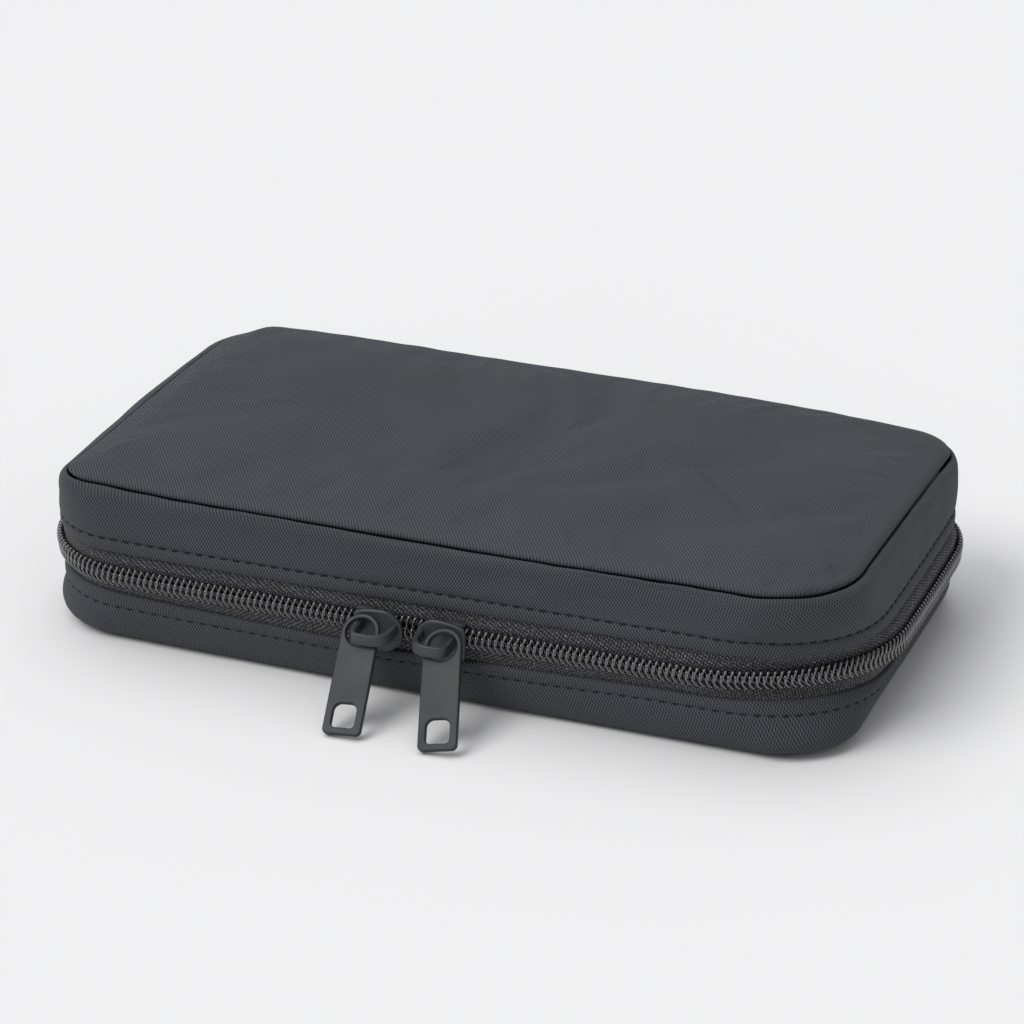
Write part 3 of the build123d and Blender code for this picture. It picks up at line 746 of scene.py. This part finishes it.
# ---------------------------------------------------------------- stitching
def stitches(name, key, outset, body, dash=1.95, pitch=3.0, rad=0.21):
    R = LV[key] + outward(LV[key]) * outset
    P = np.vstack([R, R[:1]])
    P, s = resample(P, 0.25)
    total = s[-1]
    count = int(total / pitch)
    verts, faces = [], []
    for q in range(count):
        a = q * total / count
        ss = np.linspace(a, a + dash, 6)
        C = np.column_stack([np.interp(ss, s, P[:, k]) for k in range(3)])
        n = np.array([C[-1][1] - C[0][1], -(C[-1][0] - C[0][0]), 0])
        n /= np.linalg.norm(n)
        dip = np.array([-0.3, -0.02, 0.08, 0.08, -0.02, -0.3])
        C = C + n * dip[:, None]
        C[:, 2] += np.linspace(-0.12, 0.12, 6)
        v, f = tube("", C, np.array([0.6, 0.95, 1, 1, 0.95, 0.6]) * rad, 6, None, None)
        o = len(verts)
        verts.extend(v.tolist())
        faces.extend([[x + o for x in g] for g in f])
    ob = new_mesh(name, np.array(verts), faces, None, M_THREAD, body)
    return ob


stitches("lid_hem_stitches", "ustitch", -0.12, "lid")
stitches("base_hem_stitches", "lstitch", -0.12, "base", rad=0.16)

# ---------------------------------------------------------------- spine
xs = np.linspace(-67.8, 67.8, 90)
prof_s = [(8.6, 49.55), (9.8, 49.75), (10.9, 50.2), (12.4, 50.42), (14.5, 50.5), (16.0, 50.52), (17.2, 50.52), (18.4, 50.5), (19.6, 50.48), (20.8, 50.45), (21.7, 50.3), (22.4, 49.95), (23.2, 49.7), (24.4, 49.5)]
rows_s = [[(x, y + 0.12 * (1 - (x / 68) ** 2) + 0.06 * sin(x * 0.21 + z), z) for x in xs] for z, y in prof_s]
inner = [[(x, y - 0.8, z) for (x, y, z) in row] for row in rows_s[::-1]]
spine = grid("spine_cloth", np.array(rows_s + inner), M_BINDING, None, wrap_rows=True, caps=True, flip=True)
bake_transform(spine)
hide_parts("spine_lower", "spine_upper")

# ---------------------------------------------------------------- bindings and linings, seen when the lid is open
def band(name, R, n, o0, o1, z0, z1, mat, body, nodes):
    """A folded tape over the raw edges: rounded both ends."""
    h = (z1 - z0)
    pts = [(o0, 0.25), (o0 + 0.02, 0.7), (o0 - 0.06, h - 0.5), (o0 - 0.2, h - 0.15), ((o0 + o1) / 2, h), (o1 + 0.2, h - 0.15), (o1 + 0.06, h - 0.5), (o1 - 0.02, 0.7), (o1, 0.25), (o1 + 0.15, 0.06), ((o0 + o1) / 2, 0), (o0 - 0.15, 0.06)]
    P = []
    for o, dz in pts:
        Q = R + n * o
        Q = Q.copy()
        Q[:, 2] = Q[:, 2] + (z0 - R[:, 2].mean()) + dz
        P.append(Q)
    ob = grid(name, np.array(P), mat, body, wrap=True, wrap_rows=True, flip=True)
    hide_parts(nodes)
    return ob


def shift_z(R, z):
    Q = R.copy()
    Q[:, 2] = z
    return Q


UF, LF = LV["ufold"], LV["lfold"]
UFf, LFf = shift_z(UF, 22.7), shift_z(LF, 10.3)
band("lid_binding_tape", UFf, outward(UFf), -1.75, -2.9, 22.35, 25.0, M_BINDING, "lid", "lid_binding")
band("base_binding_tape", LFf, outward(LFf), -1.75, -2.9, 8.1, 10.75, M_BINDING, "base", "base_binding")


def tray(name, R, z_edge, z_floor, step, body, nodes, seed, up):
    """Lining: walls with a rolled foot and a soft floor, drawn in from the ring R."""
    n = outward(R)
    s = 1 if up else -1
    rows_ = []
    for o, zz in [(-2.95, z_edge), (-3.0, z_edge + s * 1.2), (-3.2, z_edge + 0.5 * (z_floor - z_edge)), (-3.5, z_floor - s * 2.2), (-3.9, z_floor - s * 1.1), (-4.6, z_floor - s * 0.4), (-5.6, z_floor - s * 0.08)]:
        Q = R + n * o
        Q[:, 2] = zz
        rows_.append(Q)
    bb = (R[:, 0].min(), R[:, 0].max(), R[:, 1].min(), R[:, 1].max())
    for t in list(np.arange(7.4, 47.5, 2.2)) + [49.9]:
        f = smooth((t - 5.6) / 20)
        A = R + n * -min(t, 12.0)
        ex = max(t - 12.0, 0)
        C = A.copy()
        cx, cy = (bb[0] + bb[1]) / 2, (bb[2] + bb[3]) / 2
        hx, hy = (bb[1] - bb[0]) / 2 - 12, (bb[3] - bb[2]) / 2 - 12
        C[:, 0] = cx + (A[:, 0] - cx) * (hx - ex) / hx
        C[:, 1] = cy + (A[:, 1] - cy) * max(hy - ex, 0.4) / hy
        C[:, 2] = z_floor + s * 0.0
        C[:, 2] += -s * (0.28 * f * (0.6 + 0.4 * waves(C, 26, seed)) + 0.1 * waves(C, 12, seed + 1) * f)
        rows_.append(C)
    ob = close_rings(np.array(rows_), name, M_LINING, body, flip=up)
    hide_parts(nodes)
    return ob


tray("base_lining_cloth", LFf.copy(), 10.4, 4.65, 0, "base", "base_lining", 41, False)
tray("lid_lining_cloth", UFf.copy(), 22.7, 35.9, 0, "lid", "lid_lining", 43, True)

# ---------------------------------------------------------------- net pocket in the lid
nx, ny = 120, 56
gx, gy = np.linspace(-82, 82, nx), np.linspace(-22, 43, ny)
XX, YY = np.meshgrid(gx, gy)
ex = smooth((82 - np.abs(XX)) / 9)
ey = smooth((43 - YY) / 12)
drop = 4.6 * ex * ey
drop += 0.25 * np.sin(XX * 0.19) * ex * ey * smooth((10 - YY) / 30)
ZZ = 35.35 - drop
NETP = np.dstack([XX, YY, ZZ])
net = grid("lid_net_pocket", NETP, M_NET, "lid", flip=True)
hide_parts("lid_mesh_pocket")
for tri in ((0, 1, 2), (0, 2, 3)):
    q = np.array([NETP[:-1, :-1], NETP[:-1, 1:], NETP[1:, 1:], NETP[1:, :-1]])

# hem elastic along the mouth of the pocket
hz = 35.35 - 4.6 * smooth((82 - np.abs(gx)) / 9) - 0.25 * np.sin(gx * 0.19) * smooth((82 - np.abs(gx)) / 9)
prof_e = [(-22.6, 0.35), (-22.6, -0.15), (-21.9, -0.55), (-18, -0.6), (-14.6, -0.55), (-14.0, -0.1), (-14.4, 0.3), (-18, 0.42)]
P = np.array([[(x, y, zc + dz + 0.12 * sin(x * 1.25) * (1 if dz < 0 else 0.4)) for x, zc in zip(gx, hz)] for y, dz in prof_e])
hem = grid("lid_pocket_hem_elastic", P, M_ELASTIC, "lid", wrap_rows=True, caps=True)
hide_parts("lid_pocket_elastic")


# ---------------------------------------------------------------- elastic loops in the base
def loops(name, yc, nodes, seed):
    xs = np.linspace(-84, 84, 240)
    g = np.random.default_rng(seed)
    z = np.full(len(xs), 5.15)
    for a, b_, h in ((-78, -32, 6.4), (-23, 23, 6.6), (32, 78, 6.3)):
        t = (xs - a) / (b_ - a)
        inside = (t > 0) & (t < 1)
        q = np.clip(1 - np.abs(2 * t - 1) ** 3.2, 0, 1) * inside
        z = z + h * q * (1 + 0.04 * np.sin(xs * 0.3 + g.uniform(0, 6)))
    dz = np.gradient(z, xs)
    nn = np.column_stack([-dz, np.ones(len(xs))])
    nn /= np.linalg.norm(nn, axis=1)[:, None]
    ys = [-10, -10, -9.6, -6, -2, 2, 6, 9.6, 10, 10, 9.6, 6, 2, -2, -6, -9.6]
    th = [-0.15, 0.2, 0.42, 0.5, 0.5, 0.5, 0.5, 0.42, 0.2, -0.15, -0.42, -0.45, -0.45, -0.45, -0.45, -0.42]
    P = np.array([[(x + n_[0] * t_, yc + y_, zz + n_[1] * t_ - 0.1 * (abs(y_) / 10) ** 2) for x, zz, n_ in zip(xs, z, nn)] for y_, t_ in zip(ys, th)])
    ob = grid(name, P, M_ELASTIC, "base", wrap_rows=True, caps=True, flip=True)
    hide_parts(nodes)
    return ob


loops("elastic_loops_front_band", -24, "elastic_loops_front", 5)
loops("elastic_loops_back_band", 20, "elastic_loops_back", 6)


# ---------------------------------------------------------------- sliders, bails, pulls, stops
def softened(name, node_name, body, mat, width, segments=3):
    """A rounded copy of a hard piece, its edges broken."""
    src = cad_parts[node_name]
    me = src.data.copy()
    me.name = name
    me.materials.clear()
    bm = bmesh.new()
    bm.from_mesh(me)
    bmesh.ops.remove_doubles(bm, verts=bm.verts, dist=2e-6)
    bmesh.ops.dissolve_limit(bm, angle_limit=radians(1.0), verts=bm.verts, edges=bm.edges)
    bm.to_mesh(me)
    bm.free()
    ob = bpy.data.objects.new(name, me)
    scene.collection.objects.link(ob)
    me.materials.append(mat)
    be = ob.modifiers.new("edge", "BEVEL")
    be.width, be.segments, be.limit_method, be.angle_limit = width * MM, segments, "ANGLE", radians(32)
    be.use_clamp_overlap, be.harden_normals = True, False
    dg = bpy.context.evaluated_depsgraph_get()
    bpy.context.view_layer.update()
    ev = bpy.data.meshes.new_from_object(ob.evaluated_get(bpy.context.evaluated_depsgraph_get()))
    ob.modifiers.clear()
    ob.data = ev
    ev.name = name
    ev.polygons.foreach_set("use_smooth", [True] * len(ev.polygons))
    ev.update()
    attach(ob, body)
    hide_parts(node_name)
    return ob


def chaikin(P, times=2):
    P = np.array(P, float)
    for _ in range(times):
        Q = np.roll(P, -1, 0)
        P = np.column_stack([0.75 * P + 0.25 * Q, 0.25 * P + 0.75 * Q]).reshape(-1, P.shape[1])
    return P


def arc_pts(cx, cy, r, a0, a1, n):
    t = np.radians(np.linspace(a0, a1, n))
    return [(cx + r * cos(v), cy + r * sin(v)) for v in t]


def stamped(name, outlines, thick, edge, origin, X, Y, Z, mat, body, nodes, crown=None):
    """A flat shape with holes, of the given thickness, its edges rounded all round. In mm."""
    cu = bpy.data.curves.new(name + "_outline", "CURVE")
    cu.dimensions, cu.fill_mode = "2D", "BOTH"
    cu.extrude, cu.bevel_depth, cu.bevel_resolution, cu.offset = thick / 2 - edge, edge, 3, -edge
    for L in outlines:
        sp = cu.splines.new("POLY")
        sp.points.add(len(L) - 1)
        sp.points.foreach_set("co", np.array([(x, y, 0, 1) for x, y in L], np.float32).ravel())
        sp.use_cyclic_u = True
    tmp = bpy.data.objects.new(name + "_tmp", cu)
    scene.collection.objects.link(tmp)
    bpy.context.view_layer.update()
    me = bpy.data.meshes.new_from_object(tmp.evaluated_get(bpy.context.evaluated_depsgraph_get()))
    bpy.data.objects.remove(tmp)
    me.name = name
    bm = bmesh.new()
    bm.from_mesh(me)
    bmesh.ops.remove_doubles(bm, verts=bm.verts, dist=1e-4)
    bmesh.ops.recalc_face_normals(bm, faces=bm.faces)
    big = 1.2
    for f in bm.faces:
        f.smooth = not (abs(f.normal.z) > 0.999)
    bm.to_mesh(me)
    bm.free()
    co = np.array([v.co for v in me.vertices])
    if crown is not None:
        co = crown(co)
    X, Y, Z = (np.array(q, float) for q in (X, Y, Z))
    co = (np.array(origin) + co[:, :1] * X + co[:, 1:2] * Y + co[:, 2:3] * Z) * MM
    me.vertices.foreach_set("co", co.astype(np.float32).ravel())
    me.materials.clear()
    me.materials.append(mat)
    me.update()
    ob = bpy.data.objects.new(name, me)
    scene.collection.objects.link(ob)
    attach(ob, body)
    if nodes:
        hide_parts(*nodes)
    return ob


def plate_outline(tail, nose, zc=16.2, zh=5.0):
    s = 1 if nose > tail else -1
    P = [(tail, zc - zh + 1.5), (tail + s * 1.0, zc - zh + 0.9), (tail + s * 3.5, zc - zh + 0.3), (nose - s * 4.8, zc - zh), (nose - s * 2.6, zc - zh + 0.4),
         (nose - s * 0.6, zc - zh + 2.4), (nose, zc - 1.4), (nose, zc + 1.4), (nose - s * 0.6, zc + zh - 2.4), (nose - s * 2.6, zc + zh - 0.4),
         (nose - s * 4.8, zc + zh), (tail + s * 3.5, zc + zh - 0.3), (tail + s * 1.0, zc + zh - 0.9), (tail, zc + zh - 1.5)]
    return P


for side, tail, nose, ring_x, swing in (("left", -15.6, -4.1, -12.1, 5.5), ("right", 10.6, -0.9, 7.1, 13.0)):
    s = 1 if nose > tail else -1
    body = side + "_slider"
    P = chaikin(plate_outline(tail, nose), 3)
    cx, cz = P[:, 0].mean(), P[:, 1].mean()

    def dome(co, cx=cx, cz=cz):
        q = np.clip(1 - ((co[:, 0] - cx) / 5.9) ** 2, 0, 1) * np.clip(1 - ((co[:, 1] - cz) / 5.2) ** 2, 0, 1)
        co = co.copy()
        co[:, 2] += 0.0 * q
        return co

    outer = stamped(f"slider_{side}_plate", [P], 1.25, 0.45, (0, -52.78, 0), (1, 0, 0), (0, 0, 1), (0, -1, 0), M_SLIDER, body, [f"slider_{side}"])
    stamped(f"slider_{side}_inner_plate", [P], 1.0, 0.3, (0, -48.4, 0), (1, 0, 0), (0, 0, 1), (0, -1, 0), M_SLIDER, body, [])
    web = [(nose - s * 3.3, 15.95), (nose - s * 0.7, 15.95), (nose - s * 0.5, 16.2), (nose - s * 0.7, 16.45), (nose - s * 3.3, 16.45), (nose - s * 3.6, 16.2)]
    stamped(f"slider_{side}_web", [web], 3.7, 0.08, (0, -50.6, 0), (1, 0, 0), (0, 0, 1), (0, -1, 0), M_SLIDER, body, [])
    # raised lips above and below, that guide the coils
    for k, zl in enumerate((20.75, 12.6)):
        e = 1 if k == 0 else -1
        lip = [(tail + s * 0.3, zl - e * 0.5), (tail + s * 4.6, zl - e * 0.3), (tail + s * 4.4, zl + e * 0.05), (tail + s * 0.5, zl - e * 0.05)]
        stamped(f"slider_{side}_lip_{k + 1}", [chaikin(lip, 1)], 1.5, 0.1, (0, -51.75, 0), (1, 0, 0), (0, 0, 1), (0, -1, 0), M_SLIDER, body, [])
    y0, y1, ym, bt = -53.0, -60.8, -59.9, 0.9
    xt, xn = tail + s * 1.7, nose - s * 0.9
    B2 = [(xt, y0), (xt, y1 + 3.2), (xt + s * 0.15, y1 + 1.5), (xt + s * 1.1, y1 + 0.25), (xt + s * 2.6, y1), (xn - s * 3.6, y1), (xn - s * 1.6, y1 + 0.7), (xn - s * 0.3, y1 + 2.4), (xn, y1 + 4.4), (xn, y0),
          (xn - s * 1.2, y0), (xn - s * 1.2, y1 + 4.5), (xn - s * 1.5, y1 + 3.0), (xn - s * 2.4, y1 + 1.6), (xn - s * 3.8, y1 + bt), (xt + s * 2.7, y1 + bt), (xt + s * 1.5, y1 + 1.15), (xt + s * 1.0, y1 + 2.2), (xt + s * 1.0, y0)]
    stamped(f"bail_{side}_bridge", [chaikin(B2, 2)], 2.6, 0.28, (0, 0, 17.2), (1, 0, 0), (0, 1, 0), (0, 0, 1), M_SLIDER, body, [f"slider_bail_{side}"])
    # pull tab, in its own leaning plane
    lean = radians(46)
    out = np.array([0, -cos(lean), sin(lean)])
    down = np.array([0, -sin(lean), -cos(lean)])
    along = down * cos(radians(swing)) + np.array([1, 0, 0]) * sin(radians(swing))
    across = np.cross(along, out)
    tip, hw, rc = 23.5, 4.4, 1.25
    T2 = arc_pts(0, 0, 4.3, 180, 360, 40) + [(4.3, 3.0), (4.36, 8.0), (hw, 13.0)] + arc_pts(hw - rc, tip - rc, rc, 0, 90, 8) + arc_pts(-hw + rc, tip - rc, rc, 90, 180, 8) + [(-hw, 13.0), (-4.36, 8.0), (-4.3, 3.0)]
    H1 = arc_pts(0, 0, 3.3, 0, 360, 49)[:-1]
    hx, y0h, y1h = 2.65, tip - 1.6 - 5.5, tip - 1.6
    H2 = arc_pts(hx - 1.7, y0h + 1.7, 1.7, 270, 360, 9) + arc_pts(hx - 1.0, y1h - 1.0, 1.0, 0, 90, 7) + arc_pts(-hx + 1.0, y1h - 1.0, 1.0, 90, 180, 7) + arc_pts(-hx + 1.7, y0h + 1.7, 1.7, 180, 270, 9)
    stamped(f"pull_{side}_tab", [T2, H1, H2], 1.3, 0.32, (ring_x, -57.1, 17.0), across, along, out, M_PULL, side + "_pull", [f"pull_tab_{side}"])

softened("zipper_stop_left_clip", "zipper_stop_left", "base", M_SLIDER, 0.15)
softened("zipper_stop_right_clip", "zipper_stop_right", "base", M_SLIDER, 0.15)

# ---------------------------------------------------------------- floor, light, camera
m, nt, bs = material("m_floor")
tc = nt.nodes.new("ShaderNodeTexCoord")
f = noise(nt, tc.outputs["Object"], 3.0)
nt.links.new(ramp(nt, f, [(0.3, (0.80, 0.80, 0.805)), (0.7, (0.81, 0.81, 0.815))]), bs.inputs["Base Color"])
bs.inputs["Roughness"].default_value = 0.9
bs.inputs["Specular IOR Level"].default_value = 0.1
fl = new_mesh("floor", [(-4000, -4000, -0.15), (4000, -4000, -0.15), (4000, 4000, -0.15), (-4000, 4000, -0.15)], [(0, 1, 2, 3)], None, m)

world = bpy.data.worlds.new("studio")
scene.world = world
world.use_nodes = True
bg = world.node_tree.nodes["Background"]
bg.inputs[0].default_value = (0.98, 0.985, 1.0, 1)
bg.inputs[1].default_value = 0.42


def sun(name, az, el, strength, angle, colour=(1, 1, 1)):
    d = bpy.data.lights.new(name, "SUN")
    d.energy, d.angle, d.color = strength, radians(angle), colour
    o = bpy.data.objects.new(name, d)
    v = Vector((sin(radians(az)) * cos(radians(el)), -cos(radians(az)) * cos(radians(el)), sin(radians(el))))
    o.rotation_euler = v.to_track_quat("Z", "Y").to_euler()
    scene.collection.objects.link(o)
    return o


sun("key", -45, 48, 1.55, 36, (1, 0.995, 0.99))
sun("top", -125, 72, 1.05, 60, (0.99, 0.995, 1))

cam = bpy.data.cameras.new("camera")
cam.lens, cam.sensor_width = 140.625, 36
cam.clip_start, cam.clip_end = 0.05, 20
co = bpy.data.objects.new("camera", cam)
co.location = (0.300043, -0.764443, 0.412476)
co.rotation_euler = (pi / 2 - 0.442950, 0, 0.373214)
scene.collection.objects.link(co)
scene.camera = co
scene.view_settings.view_transform = "Standard"
scene.view_settings.look = "None"
